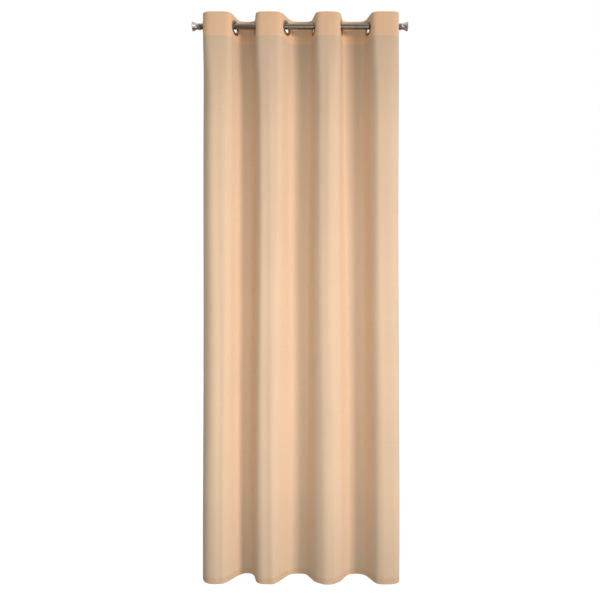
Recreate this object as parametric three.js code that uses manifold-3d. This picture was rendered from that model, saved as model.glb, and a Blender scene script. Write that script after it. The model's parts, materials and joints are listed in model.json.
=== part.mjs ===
// An eyelet curtain on a metal rod: two wall brackets with open cups, a tube with trumpet
// finials, and one cloth panel that hangs from eight two-part eyelets in four front folds.
// Millimetres, +Z up, +X along the rod, -Y towards the room. The origin is on the wall, half
// way between the brackets, at the height of the rod's axis.
import * as THREE from 'three';
import { mergeVertices } from 'three/addons/utils/BufferGeometryUtils.js';
import Module from 'manifold-3d';

const wasm = await Module();
wasm.setup();

// Rod: the clear length between the two bracket cups
const CLEAR_LENGTH = 887;
const ROD_RADIUS = 12.5;
const ROD_WALL = 1.2;
const WALL_TO_ROD = 100;

// Cloth
const DROP = 2500;
const HEAD_ABOVE_ROD = 43;
const CLOTH = 1.0;
const TAPE = 1.0;
const TAPE_HEIGHT = 100;
const TAPE_DROP = 3;
const FOLD_DEPTH = 90;
const SIDE_RETURN = 52;
const SIDE_CURL_DEG = 20;
const CREST_SLOT = 2;
const CORNER_PULL = 0.62;

// Eyelets, from left to right
const EYELET_BORE = 20;
const EYELET_RIM = 33;
const EYELET_TOP_GAP = 0.4;
const BARREL_WALL = 1.8;
const FLANGE = 2;
const FLANGE_BEVEL = 3;
const BARREL_ROUND = 2.2;
const END_SPACE_LEFT = 15.5;
const END_SPACE_RIGHT = 14;
const FOLD_SHARE = [139.5, 90, 139, 121, 124, 120, 125];
const FLANK_TILT_DEG = [4, 21, 8, 28, 12, 13, 15, 3];
// How far each crest's two corners run along the rod, left and right.
const CORNER_RUN = [[13, 13], [16, 21], [15, 16], [21, 20], [17, 25], [24, 23], [16, 16]];

// Finials
const FINIAL_LENGTH = 31;
const FINIAL_RIM = 19.5;
const COLLAR_LIP = 0.7;
const COLLAR_LENGTH = 2;
const COLLAR_CHAMFER = 1;
const FLARE_DIP = 0.6;
const FLARE_RISE = 2.5;
const FLARE_HANDLES = [0.375, 0.58];
const RIM_WALL = 2;
const RIM_CHAMFER = 1;
const RIM_LAND = 2.2;
const CAP_SEAT = 3;
const CAP_RECESS = 2;
const PLUG_LENGTH = 30;
const PLUG_CHAMFER = 1;
const STUD_GAP = 1;
const STUD_RADIUS = 5;
const FINIAL_SCREW_RADIUS = 2;
const FINIAL_SCREW_GRIP = 20;

// Brackets
const CUP_WIDTH = 5;
const CUP_WALL = 2.4;
const CUP_GAP = 0.3;
const CUP_LIP_DEG = 215;
const ARM_HEIGHT = 12;
const ARM_RISE_DEG = 26;
const PLATE = 3;
const PLATE_WIDTH = 26;
const PLATE_HEIGHT = 60;
const PLATE_CORNER = 4;
const PLATE_LEDGE = 1;
const PLATE_SINK = 2;
const WALL_SCREW_HOLE = 2.6;
const WALL_SCREW_SINK = 4.6;
const WALL_SCREW_SPACING = 44;
const WALL_SCREW_SIDESTEP = 5;
const ARM_SCREW_RADIUS = 1.25;
const ARM_SCREW_LENGTH = 12;
const ARM_SCREW_HEAD = 1.6;
const ARM_SCREW_TIP_GAP = 1;
const LOCK_SCREW_RADIUS = 1.5;
const LOCK_SCREW_LENGTH = 5;
const LOCK_SCREW_DEG = -25;

const SOCKET_SHARE = 0.7;
const SOCKET_DEPTH = 1;
const SCREW_CHAMFER = 0.4;

const GAP = 0.3;
const OVERCUT = 1;
const ROUND = 28;
const SMALL_ROUND = 10;
const CUP_ROUND = 12;
const RING_ROUND = 24;
const CURVE_STEPS = 5;

const rad = THREE.MathUtils.degToRad;
const eyeletHang = EYELET_BORE - ROD_RADIUS - EYELET_TOP_GAP;

function finish(color, roughness, metalness) {
  return new THREE.MeshStandardMaterial({ color, roughness, metalness });
}

const satinNickel = finish(0xb4b2ae, 0.28, 1.0);
const darkNickel = finish(0x4a4038, 0.35, 1.0);
const steel = finish(0x8f9092, 0.4, 1.0);
const cloth = finish(0xe3bd97, 0.9, 0.0);
const buckram = finish(0xe9dccb, 0.95, 0.0);
const plastic = finish(0xd9d6cf, 0.6, 0.0);

const curtain = new THREE.Group();

function add(name, geometry, material) {
  const mesh = new THREE.Mesh(geometry, material);
  mesh.name = name;
  curtain.add(mesh);
  return mesh;
}

// Solids joined and cut with manifold-3d

function solid(geometry) {
  const bare = geometry.clone();
  bare.deleteAttribute('normal');
  bare.deleteAttribute('uv');
  const merged = mergeVertices(bare, 1e-4);
  return new wasm.Manifold(new wasm.Mesh({
    numProp: 3,
    vertProperties: new Float32Array(merged.attributes.position.array),
    triVerts: new Uint32Array(merged.index.array),
  }));
}

function cut(geometry, tools) {
  let body = solid(geometry);
  for (const tool of tools) body = body.subtract(solid(tool));
  const mesh = body.getMesh();
  const result = new THREE.BufferGeometry();
  result.setAttribute('position', new THREE.Float32BufferAttribute(mesh.vertProperties, 3));
  result.setIndex(new THREE.Uint32BufferAttribute(mesh.triVerts, 1));
  result.computeVertexNormals();
  return result;
}

// A turned piece: its profile is [radius, place along the axis], and its axis is +Y.
function turned(profile, steps) {
  const points = profile.map(([r, y]) => new THREE.Vector2(r, y));
  if (THREE.ShapeUtils.isClockWise(points)) points.reverse();
  return new THREE.LatheGeometry(points, steps);
}

// A flat outline in the Y-Z plane, given a thickness along X and centred on x = 0.
function barAcross(shape, thickness) {
  const geometry = new THREE.ExtrudeGeometry(shape, { depth: thickness, bevelEnabled: false });
  geometry.translate(0, 0, -thickness / 2);
  geometry.rotateX(Math.PI / 2);
  geometry.rotateZ(Math.PI / 2);
  return geometry;
}

function arc(cx, cy, radius, fromDeg, toDeg, steps) {
  return Array.from({ length: steps + 1 }, (_, k) => {
    const a = rad(fromDeg + ((toDeg - fromDeg) * k) / steps);
    return new THREE.Vector2(cx + radius * Math.cos(a), cy + radius * Math.sin(a));
  });
}

// Plan of the cloth. A plan point is (x, d): d is the distance in front of the rod's axis.

const leftEyelet = -(CLEAR_LENGTH / 2 - END_SPACE_LEFT);
const rightEyelet = CLEAR_LENGTH / 2 - END_SPACE_RIGHT;
const shareTotal = FOLD_SHARE.reduce((sum, share) => sum + share, 0);
const eyeletX = [leftEyelet];
for (const share of FOLD_SHARE) {
  eyeletX.push(eyeletX.at(-1) + (share / shareTotal) * (rightEyelet - leftEyelet));
}
const crestDepth = FOLD_DEPTH / 2;

// Each eyelet sits on a flat flank. The first runs from back to front, the next from front to
// back, and so on by turns.
const flanks = eyeletX.map((x, i) => {
  const forward = i % 2 === 0 ? 1 : -1;
  const tilt = rad(FLANK_TILT_DEG[i]);
  const along = new THREE.Vector2(Math.sin(tilt), forward * Math.cos(tilt));
  const centre = new THREE.Vector2(x, 0);
  return {
    centre,
    along,
    face: new THREE.Vector2(-along.y, along.x),
    start: centre.clone().addScaledVector(along, -EYELET_RIM),
    end: centre.clone().addScaledVector(along, EYELET_RIM),
  };
});

// The rounded corner between a flank's end and a crest's flat, as plan points from flank to crest.
function corner(point, direction, depth, run) {
  const reach = (depth - point.y) / direction.y;
  const knee = point.clone().addScaledVector(direction, reach);
  const flat = new THREE.Vector2(knee.x + run, depth);
  const curve = new THREE.CubicBezierCurve(
    point,
    point.clone().lerp(knee, CORNER_PULL),
    flat.clone().lerp(knee, CORNER_PULL),
    flat,
  );
  return curve.getPoints(CURVE_STEPS);
}

// The free side edge turns back past its eyelet towards the wall and curls inwards.
function sideReturn(point, direction, inward) {
  const points = [point];
  const step = SIDE_RETURN / CURVE_STEPS;
  const start = Math.atan2(direction.x, -direction.y);
  for (let k = 0; k < CURVE_STEPS; k += 1) {
    const a = start + (inward * rad(SIDE_CURL_DEG) * (k + 0.5)) / CURVE_STEPS;
    const next = points.at(-1).clone();
    next.x += step * Math.sin(a);
    next.y -= step * Math.cos(a);
    points.push(next);
  }
  return points;
}

function panelPlan(i) {
  const { start, end, along } = flanks[i];
  const back = along.clone().negate();
  const points = [];
  if (i === 0) {
    points.push(...sideReturn(start, back, 1).reverse());
  } else {
    const depth = i % 2 === 0 ? -crestDepth : crestDepth;
    const middle = (eyeletX[i - 1] + eyeletX[i]) / 2;
    points.push(new THREE.Vector2(middle + CREST_SLOT / 2, depth));
    points.push(...corner(start, back, depth, -CORNER_RUN[i - 1][1]).reverse());
  }
  if (i === flanks.length - 1) {
    points.push(...sideReturn(end, along, -1));
  } else {
    const depth = i % 2 === 0 ? crestDepth : -crestDepth;
    const middle = (eyeletX[i] + eyeletX[i + 1]) / 2;
    points.push(...corner(end, along, depth, CORNER_RUN[i][0]));
    points.push(new THREE.Vector2(middle - CREST_SLOT / 2, depth));
  }
  return points;
}

// A strip that follows a plan from one offset to another on the cloth's face side.
function strip(plan, inner, outer, height) {
  const faces = plan.map((point, k) => {
    const before = plan[Math.max(k - 1, 0)];
    const after = plan[Math.min(k + 1, plan.length - 1)];
    const run = after.clone().sub(before).normalize();
    return new THREE.Vector2(-run.y, run.x);
  });
  const side = (offset) => plan.map((point, k) => point.clone().addScaledVector(faces[k], offset));
  const outline = [...side(outer), ...side(inner).reverse()];
  const shape = new THREE.Shape(outline.map((point) => new THREE.Vector2(point.x, -point.y)));
  return new THREE.ExtrudeGeometry(shape, { depth: height, bevelEnabled: false });
}

// Turns a piece made about +Y to face along a flank's face side, and puts it on the rod.
function onFlank(geometry, flank, z) {
  geometry.rotateZ(Math.atan2(-flank.face.y, flank.face.x) - Math.PI / 2);
  geometry.translate(flank.centre.x, -WALL_TO_ROD - flank.centre.y, z);
  return geometry;
}

function holeCutter(flank, radius) {
  const cutter = new THREE.CylinderGeometry(radius, radius, 2 * EYELET_BORE, RING_ROUND);
  return onFlank(cutter, flank, -eyeletHang);
}

// Cloth, heading tape and eyelets

const barrelOuter = EYELET_BORE + BARREL_WALL;
const clothFace = CLOTH / 2;
const tapeFace = -CLOTH / 2 - GAP;
const tapeBack = tapeFace - TAPE;
const frontSeat = clothFace + GAP;
const backSeat = tapeBack - GAP;

function eyeletFront() {
  const face = frontSeat + FLANGE;
  const tail = backSeat - FLANGE;
  return turned([
    [EYELET_BORE, tail + BARREL_ROUND],
    [barrelOuter - GAP, tail],
    [barrelOuter, tail],
    [barrelOuter, frontSeat],
    [EYELET_RIM, frontSeat],
    [EYELET_RIM - FLANGE_BEVEL, face],
    [EYELET_BORE + FLANGE_BEVEL, face],
    [EYELET_BORE, face - BARREL_ROUND],
    [EYELET_BORE, tail + BARREL_ROUND],
  ], RING_ROUND);
}

function eyeletBack() {
  const face = backSeat - FLANGE;
  const inner = barrelOuter + GAP;
  return turned([
    [inner, backSeat],
    [inner, face],
    [EYELET_RIM - FLANGE_BEVEL, face],
    [EYELET_RIM, backSeat],
    [inner, backSeat],
  ], RING_ROUND);
}

flanks.forEach((flank, i) => {
  const number = i + 1;
  const plan = panelPlan(i);
  const hole = () => holeCutter(flank, barrelOuter + GAP);

  const panel = strip(plan, -CLOTH / 2, CLOTH / 2, DROP);
  panel.translate(0, -WALL_TO_ROD, HEAD_ABOVE_ROD - DROP);
  add(`curtain_panel_${number}`, cut(panel, [hole()]), cloth);

  const tape = strip(plan, tapeBack, tapeFace, TAPE_HEIGHT);
  tape.translate(0, -WALL_TO_ROD, HEAD_ABOVE_ROD - TAPE_DROP - TAPE_HEIGHT);
  add(`heading_tape_${number}`, cut(tape, [hole()]), buckram);

  add(`eyelet_front_${number}`, onFlank(eyeletFront(), flank, -eyeletHang), darkNickel);
  add(`eyelet_back_${number}`, onFlank(eyeletBack(), flank, -eyeletHang), darkNickel);
});

// Rod

const tubeBore = ROD_RADIUS - ROD_WALL;

// Puts a piece turned about +Y on the rod's axis, its +Y pointing outwards at that end.
function onRod(geometry, side, x) {
  geometry.rotateZ((-side * Math.PI) / 2);
  geometry.translate(side * x, -WALL_TO_ROD, 0);
  return geometry;
}

const cupX = CLEAR_LENGTH / 2 + CUP_GAP + CUP_WIDTH / 2;
const plateInset = PLATE_WIDTH / 2 - CUP_WIDTH / 2 - PLATE_LEDGE;
const rodHalf = cupX + CUP_WIDTH / 2 + CUP_GAP;
const tube = turned([
  [tubeBore, -rodHalf],
  [ROD_RADIUS, -rodHalf],
  [ROD_RADIUS, rodHalf],
  [tubeBore, rodHalf],
  [tubeBore, -rodHalf],
], ROUND);
add('rod_tube', onRod(tube, 1, 0), satinNickel);

// Finials: a trumpet with a domed cap, on a plug that slides into the tube's end.

// The outline from the neck, which draws in a little, out to the rim.
function flare(neck, rim) {
  const run = rim - neck;
  const curve = new THREE.CubicBezierCurve(
    new THREE.Vector2(ROD_RADIUS, neck),
    new THREE.Vector2(ROD_RADIUS - FLARE_DIP, neck + run * FLARE_HANDLES[0]),
    new THREE.Vector2(ROD_RADIUS + FLARE_RISE, neck + run * FLARE_HANDLES[1]),
    new THREE.Vector2(FINIAL_RIM, rim),
  );
  return curve.getPoints(CURVE_STEPS).map((point) => [point.x, point.y]);
}

const capSeat = FINIAL_LENGTH - CAP_SEAT;
const recessFloor = capSeat - CAP_RECESS;
const rimInner = FINIAL_RIM - RIM_WALL;

function finialBody() {
  const bore = STUD_RADIUS + GAP;
  const collar = ROD_RADIUS + COLLAR_LIP;
  const rimStart = capSeat - RIM_CHAMFER;
  const rimEnd = rimStart + RIM_LAND;
  return turned([
    [bore, 0],
    [collar, 0],
    [collar, COLLAR_LENGTH],
    ...flare(COLLAR_LENGTH + COLLAR_CHAMFER, rimStart),
    [FINIAL_RIM, rimEnd - RIM_CHAMFER / 2],
    [FINIAL_RIM - RIM_CHAMFER / 2, rimEnd],
    [rimInner, rimEnd],
    [rimInner, recessFloor],
    [bore, recessFloor],
    [bore, 0],
  ], ROUND);
}

function finialCap() {
  const rim = rimInner - GAP;
  const seat = recessFloor + GAP;
  const face = capSeat + RIM_CHAMFER;
  const dome = [0.25, 0.5, 0.75].map((share) => [
    rim * (1 - share),
    face + (FINIAL_LENGTH - face) * Math.sin((share * Math.PI) / 2),
  ]);
  return turned([[0, seat], [rim, seat], [rim, face], ...dome, [0, FINIAL_LENGTH]], ROUND);
}

const studEnd = recessFloor - STUD_GAP;

function finialPlug() {
  const radius = tubeBore - GAP;
  const screw = FINIAL_SCREW_RADIUS + GAP;
  return turned([
    [screw, -PLUG_LENGTH],
    [radius - PLUG_CHAMFER, -PLUG_LENGTH],
    [radius, -PLUG_LENGTH + PLUG_CHAMFER],
    [radius, -GAP],
    [STUD_RADIUS, -GAP],
    [STUD_RADIUS, studEnd],
    [screw, studEnd],
    [screw, -PLUG_LENGTH],
  ], ROUND);
}

function finialScrew() {
  const head = 2 * FINIAL_SCREW_RADIUS;
  const under = -PLUG_LENGTH - GAP;
  const top = under - FINIAL_SCREW_RADIUS;
  const socket = FINIAL_SCREW_RADIUS * SOCKET_SHARE;
  return turned([
    [0, FINIAL_SCREW_GRIP],
    [0, top + SOCKET_DEPTH],
    [socket, top + SOCKET_DEPTH],
    [socket, top],
    [head, top],
    [head, under],
    [FINIAL_SCREW_RADIUS, under],
    [FINIAL_SCREW_RADIUS, FINIAL_SCREW_GRIP - SCREW_CHAMFER],
    [FINIAL_SCREW_RADIUS - SCREW_CHAMFER, FINIAL_SCREW_GRIP],
    [0, FINIAL_SCREW_GRIP],
  ], SMALL_ROUND);
}

for (const [hand, side] of [['left', -1], ['right', 1]]) {
  const place = (geometry) => onRod(geometry, side, rodHalf + GAP);
  add(`finial_body_${hand}`, place(finialBody()), satinNickel);
  add(`finial_cap_${hand}`, place(finialCap()), satinNickel);
  add(`finial_plug_${hand}`, place(finialPlug()), plastic);
  add(`finial_screw_${hand}`, place(finialScrew()), steel);
}

// Brackets: a wall plate, an arm that rises to it from an open cup under the rod, and two screws.
// Places in a bracket are (y, z) from the rod's axis, with +y towards the wall.

const cupInner = ROD_RADIUS + GAP;
const cupOuter = cupInner + CUP_WALL;
const armSlope = Math.tan(rad(ARM_RISE_DEG));
const armHalf = ARM_HEIGHT / 2 / Math.cos(rad(ARM_RISE_DEG));
const plateY = WALL_TO_ROD - PLATE;
const footY = plateY - GAP;
const footZ = footY * armSlope;
const armHole = ARM_SCREW_RADIUS + GAP;

// Where the arm's under edge meets the cup's outer circle, in degrees up from +y.
function armUnderDeg() {
  const a = 1 + armSlope ** 2;
  const b = -2 * armSlope * armHalf;
  const c = armHalf ** 2 - cupOuter ** 2;
  const y = (-b + Math.sqrt(b ** 2 - 4 * a * c)) / (2 * a);
  return THREE.MathUtils.radToDeg(Math.atan2(armSlope * y - armHalf, y));
}

function cutterAlongY(radiusAtFront, radiusAtBack, fromY, toY, z) {
  const cutter = new THREE.CylinderGeometry(radiusAtBack, radiusAtFront, toY - fromY, SMALL_ROUND);
  cutter.translate(0, (fromY + toY) / 2, z);
  return cutter;
}

// A radial place on the cup, at the lock screw's angle.
function atLockScrew(geometry) {
  return geometry.rotateX(rad(LOCK_SCREW_DEG));
}

function bracketArm() {
  const under = 360 + armUnderDeg();
  const outline = [
    ...arc(0, 0, cupOuter, CUP_LIP_DEG, under, CUP_ROUND),
    new THREE.Vector2(footY, footZ - armHalf),
    new THREE.Vector2(footY, footZ + armHalf),
    new THREE.Vector2(cupInner, cupInner * armSlope + armHalf),
    ...arc(0, 0, cupInner, 0, CUP_LIP_DEG - 360, CUP_ROUND),
  ];
  const bar = barAcross(new THREE.Shape(outline), CUP_WIDTH);
  const screwEnd = footY - ARM_SCREW_LENGTH;
  const screwHole = cutterAlongY(armHole, armHole, screwEnd, footY + OVERCUT, footZ);
  const lockRadius = LOCK_SCREW_RADIUS + GAP;
  const lockHole = cutterAlongY(lockRadius, lockRadius, cupInner - OVERCUT, cupOuter + OVERCUT, 0);
  return cut(bar, [screwHole, atLockScrew(lockHole)]);
}

function wallPlate(side) {
  const shape = new THREE.Shape();
  const w = PLATE_WIDTH / 2 - PLATE_CORNER;
  const h = PLATE_HEIGHT / 2 - PLATE_CORNER;
  shape.absarc(w, h, PLATE_CORNER, 0, Math.PI / 2);
  shape.absarc(-w, h, PLATE_CORNER, Math.PI / 2, Math.PI);
  shape.absarc(-w, -h, PLATE_CORNER, Math.PI, 1.5 * Math.PI);
  shape.absarc(w, -h, PLATE_CORNER, 1.5 * Math.PI, 2 * Math.PI);
  const plate = new THREE.ExtrudeGeometry(shape, { depth: PLATE, bevelEnabled: false, curveSegments: 3 });
  plate.rotateX(Math.PI / 2);
  plate.translate(-side * plateInset, WALL_TO_ROD, footZ);
  const seatY = WALL_TO_ROD - ARM_SCREW_HEAD - 2 * GAP;
  const head = 2 * ARM_SCREW_RADIUS + GAP;
  const tools = [
    cutterAlongY(armHole, armHole, plateY - OVERCUT, WALL_TO_ROD + OVERCUT, footZ),
    cutterAlongY(head, head, seatY, WALL_TO_ROD + OVERCUT, footZ),
  ];
  for (const up of [-1, 1]) {
    const z = footZ + (up * WALL_SCREW_SPACING) / 2;
    const sink = cutterAlongY(WALL_SCREW_SINK, WALL_SCREW_HOLE, plateY, plateY + PLATE_SINK, z);
    const hole = cutterAlongY(
      WALL_SCREW_HOLE,
      WALL_SCREW_HOLE,
      plateY - OVERCUT,
      WALL_TO_ROD + OVERCUT,
      z,
    );
    const x = -side * (plateInset + WALL_SCREW_SIDESTEP);
    tools.push(sink.translate(x, 0, 0), hole.translate(x, 0, 0));
  }
  return cut(plate, tools);
}

function screwAlongY(radius, length, headHeight, headY) {
  const head = 2 * radius;
  const socket = radius * SOCKET_SHARE;
  const outline = headHeight > 0
    ? [[radius, -headHeight], [head, -headHeight], [head, 0]]
    : [[radius, 0]];
  const screw = turned([
    [0, -length],
    [radius - SCREW_CHAMFER, -length],
    [radius, -length + SCREW_CHAMFER],
    ...outline,
    [socket, 0],
    [socket, -SOCKET_DEPTH],
    [0, -SOCKET_DEPTH],
  ], SMALL_ROUND);
  return screw.translate(0, headY, 0);
}

function armScrew() {
  const length = ARM_SCREW_LENGTH + PLATE - GAP - ARM_SCREW_TIP_GAP;
  return screwAlongY(ARM_SCREW_RADIUS, length, ARM_SCREW_HEAD, WALL_TO_ROD - GAP).translate(0, 0, footZ);
}

function lockScrew() {
  return atLockScrew(screwAlongY(LOCK_SCREW_RADIUS, LOCK_SCREW_LENGTH, 0, cupInner + LOCK_SCREW_LENGTH));
}

for (const [hand, side] of [['left', -1], ['right', 1]]) {
  const place = (geometry) => geometry.translate(side * cupX, -WALL_TO_ROD, 0);
  add(`wall_plate_${hand}`, place(wallPlate(side)), satinNickel);
  add(`bracket_arm_${hand}`, place(bracketArm()), satinNickel);
  add(`arm_screw_${hand}`, place(armScrew()), steel);
  add(`rod_lock_screw_${hand}`, place(lockScrew()), steel);
}

export default curtain;
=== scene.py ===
# An eyelet curtain on a metal rod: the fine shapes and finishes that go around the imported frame.
# Metres, +Z up, +X along the rod, -Y into the room. Heights are measured from the rod's axis.
import json
import math

import bmesh
import bpy
import numpy as np
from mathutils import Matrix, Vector


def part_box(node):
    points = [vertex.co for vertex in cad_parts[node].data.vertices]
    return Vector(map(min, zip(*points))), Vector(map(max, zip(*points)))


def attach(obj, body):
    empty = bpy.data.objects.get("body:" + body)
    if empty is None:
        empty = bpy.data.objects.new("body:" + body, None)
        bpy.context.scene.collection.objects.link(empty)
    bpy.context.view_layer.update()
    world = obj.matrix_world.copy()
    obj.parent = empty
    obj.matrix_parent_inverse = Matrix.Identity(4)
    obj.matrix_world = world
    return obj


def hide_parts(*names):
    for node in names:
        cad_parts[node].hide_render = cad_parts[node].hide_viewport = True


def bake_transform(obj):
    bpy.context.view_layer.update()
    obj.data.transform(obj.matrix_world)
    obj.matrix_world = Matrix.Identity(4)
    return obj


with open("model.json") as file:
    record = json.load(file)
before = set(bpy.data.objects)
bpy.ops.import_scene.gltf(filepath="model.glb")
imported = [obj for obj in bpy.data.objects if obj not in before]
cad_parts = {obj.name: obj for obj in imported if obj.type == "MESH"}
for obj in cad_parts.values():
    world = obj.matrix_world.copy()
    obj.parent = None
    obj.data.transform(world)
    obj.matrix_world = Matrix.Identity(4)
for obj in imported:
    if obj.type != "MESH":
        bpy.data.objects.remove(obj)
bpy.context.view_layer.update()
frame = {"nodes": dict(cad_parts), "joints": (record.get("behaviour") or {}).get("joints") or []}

# ---- Places taken from the frame ----

FOLDS = 8
joint_place = {joint["name"]: joint.get("pos_m") for joint in frame["joints"]}
rod_y = joint_place["curtain_draw"][1]
eyelet_x = [joint_place["curtain_draw"][0]]
for number in range(FOLDS - 1, 0, -1):
    eyelet_x.insert(0, 2 * joint_place[f"crest_{number}"][0] - eyelet_x[0])
hem_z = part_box("curtain_panel_1")[0].z
head_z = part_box("curtain_panel_1")[1].z
ring_low, ring_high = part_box("eyelet_front_1")
eyelet_z = (ring_low.z + ring_high.z) / 2
rod_low, rod_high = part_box("rod_tube")
rod_radius = (rod_high.z - rod_low.z) / 2

# ---- Sizes ----

# Cloth
SHEET = 0.0007
LAYER_STEP = 0.0013
HEAD_BAND = 0.105
TURNED_EDGE = 0.004
BOTTOM_HEM = 0.030
HEM_SEAM = 0.027
SIDE_HEM = 0.018
SIDE_SEAM = 0.0155
SIDE_HEM_GAP = 0.0002
SIDE_HEM_INSET = 0.0004
FOLD_HALF_DEPTH = 0.045
HEAD_FRONT_DEPTH = 0.0485
HEAD_BACK_DEPTH = 0.0425
BODY_FRONT_DEPTH = 0.0520
BODY_BACK_DEPTH = 0.0415
FLAT_FLANK = 0.033
SIDE_RETURN = 0.052
SIDE_CURL_DEG = 20
CORNER_PULL = 0.62
FLANK_TILT_DEG = (4, 21, 8, 28, 12, 13, 15, 3)
# How far each crest's two corners run along the rod, left and right, in millimetres.
CORNER_RUN = ((13, 13), (16, 21), (15, 16), (21, 20), (17, 25), (24, 23), (16, 16))
HOLE = 0.0245
COLUMN = 0.004
BODY_ROWS = 170
# How far the closer rows of the heading and the hem run on into the body.
FINE_ROWS = 0.012
FLANK_SOFTENING = 4
HEAD_SOFTENING = 10
BODY_SOFTENING = 21
# The flank stays flat this far from each eyelet, and then softens over the run.
FLAT_TO = 0.026
FLAT_FADE = 0.020
RELAX_FROM = -0.036
RELAX_RUN = 0.30
# Where each flank has drifted to at the hem, and how far it leans over more, in millimetres.
HEM_DRIFT = (-4, -6, -2, -12, -12, 11, 5, 4)
HEM_LEAN = (4, 10, 2, 8, 8, 18, 5, 4)
DRIFT_REACH = 0.115
DRIFT_FADE = 0.10
# The two side crests' outer corners: the eyelet, which way the crest lies, how far the corner drops
# back, how far it bulges out, and how much more it bulges below the heading.
SIDE_CORNERS = ((0, 1, 0.016, -0.005, -0.002), (-1, -1, 0.011, 0.013, 0.006))
CORNER_PLACE = 0.045
HEAD_CORNER_WIDTH = 0.016
BODY_CORNER_WIDTH = 0.025
HEAD_CORNER_SHARE = 0.5
BULGE_FROM = 0.028
BULGE_RISE = 0.018
BULGE_TO = 0.100
BULGE_FADE = 0.045
GROOVE_DEPTH = 0.0019
GROOVE_WIDTH = 0.0065
GROOVE_PLACE = 0.047
# Slow sway down each crest, and small ripples: their height, length across the cloth,
# and drift with height.
SWAY_X = 0.0035
SWAY_D = 0.0018
SWAY_REACH = 0.16
SWAY_LENGTHS = (1.5, 2.6)
RIPPLES = ((0.0006, 0.047, 1.3), (0.0009, 0.083, -0.9), (0.0010, 0.153, 0.6))
SEED = 11

# Seams
STITCH_LENGTH = 0.0030
STITCH_GAP = 0.0009
THREAD_RADIUS = 0.00026
THREAD_PROUD = 0.4
STITCH_STRAY = 0.05

# Eyelets
EYELET_BORE = 0.020
EYELET_BARREL = 0.0218
EYELET_RIM = 0.033
EYELET_CROWN = 0.0028
EYELET_BACK = 0.0041
FLANGE_EDGE = 0.0006
SPLAY_LENGTH = 0.0022
BACK_SPLAY = 0.0016
FRONT_SPLAY = 0.0031

# Rod and finials
ROD_WALL = 0.0012
FINIAL_LENGTH = 0.031
FINIAL_RIM = 0.0195
CAP_SEAT = 0.003
CAP_RECESS = 0.002
RIM_WALL = 0.002
RIM_EDGE = 0.001
RIM_LAND = 0.0022
FLARE_DIP = 0.0006
FLARE_RISE = 0.0025
FLARE_HANDLES = (0.375, 0.58)
STUD = 0.0053
COLLAR_LIP = 0.0007
COLLAR_LENGTH = 0.002
FINIAL_GAP = 0.0003
ROUND = 96

# Brackets
EASED_EDGE = 0.0005

head_seam_z = head_z - HEAD_BAND
hem_seam_z = hem_z + HEM_SEAM


# ---- Node helpers ----


def node(tree, kind, inputs=None, **settings):
    """A node with its settings and inputs. An input is a value or another node's output."""
    made = tree.nodes.new(kind)
    for key, value in settings.items():
        setattr(made, key, value)
    for key, value in (inputs or {}).items():
        if isinstance(value, bpy.types.NodeSocket):
            tree.links.new(value, made.inputs[key])
        else:
            made.inputs[key].default_value = value
    return made


def maths(tree, operation, *values, clamp=False):
    """A Math node's output."""
    made = tree.nodes.new("ShaderNodeMath")
    made.operation = operation
    made.use_clamp = clamp
    for socket, value in zip(made.inputs, values):
        if isinstance(value, bpy.types.NodeSocket):
            tree.links.new(value, socket)
        else:
            socket.default_value = value
    return made.outputs[0]


def mixed(tree, factor, first, second, blend="MIX"):
    """A colour Mix node's output."""
    made = tree.nodes.new("ShaderNodeMix")
    made.data_type = "RGBA"
    made.blend_type = blend
    sockets = (made.inputs[0], made.inputs[6], made.inputs[7])
    for socket, value in zip(sockets, (factor, first, second)):
        if isinstance(value, bpy.types.NodeSocket):
            tree.links.new(value, socket)
        else:
            socket.default_value = value
    return made.outputs[2]


def ranged(tree, value, from_low, from_high, to_low, to_high):
    """A Map Range node's output."""
    made = node(tree, "ShaderNodeMapRange", {0: value})
    for socket, number in zip(list(made.inputs)[1:5], (from_low, from_high, to_low, to_high)):
        socket.default_value = number
    return made.outputs[0]


def streaks(tree, place, across, detail=3.0):
    """Noise that is stretched by a different scale along each axis."""
    spread = node(tree, "ShaderNodeMapping", {"Vector": place, "Scale": across})
    given = {"Vector": spread.outputs[0], "Scale": 1.0, "Detail": detail}
    return node(tree, "ShaderNodeTexNoise", given).outputs[0]


def new_finish(name):
    """A material with an empty tree, and its shader and output already joined."""
    finish = bpy.data.materials.new(name)
    finish.use_nodes = True
    tree = finish.node_tree
    tree.nodes.clear()
    shader = tree.nodes.new("ShaderNodeBsdfPrincipled")
    end = tree.nodes.new("ShaderNodeOutputMaterial")
    tree.links.new(shader.outputs[0], end.inputs[0])
    return finish, tree, shader


# ---- Finishes ----

CLOTH_COLOUR = (0.808, 0.588, 0.397, 1)
HEADING_COLOUR = (0.850, 0.545, 0.330, 1)
HEM_COLOUR = (0.785, 0.530, 0.334, 1)
# The next tone and reach are painted shade: how much the cloth darkens, and over what height,
# towards the heading's seam and towards the hem.
PAINTED_SHADE_TONE = 0.885
THREAD_PITCH = 0.0009
SEAM_BLEND = 0.0008
PAINTED_SHADE_REACH = 0.42
PUCKER_REACH = 0.012
GROOVE_REACH = 0.0016


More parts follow.
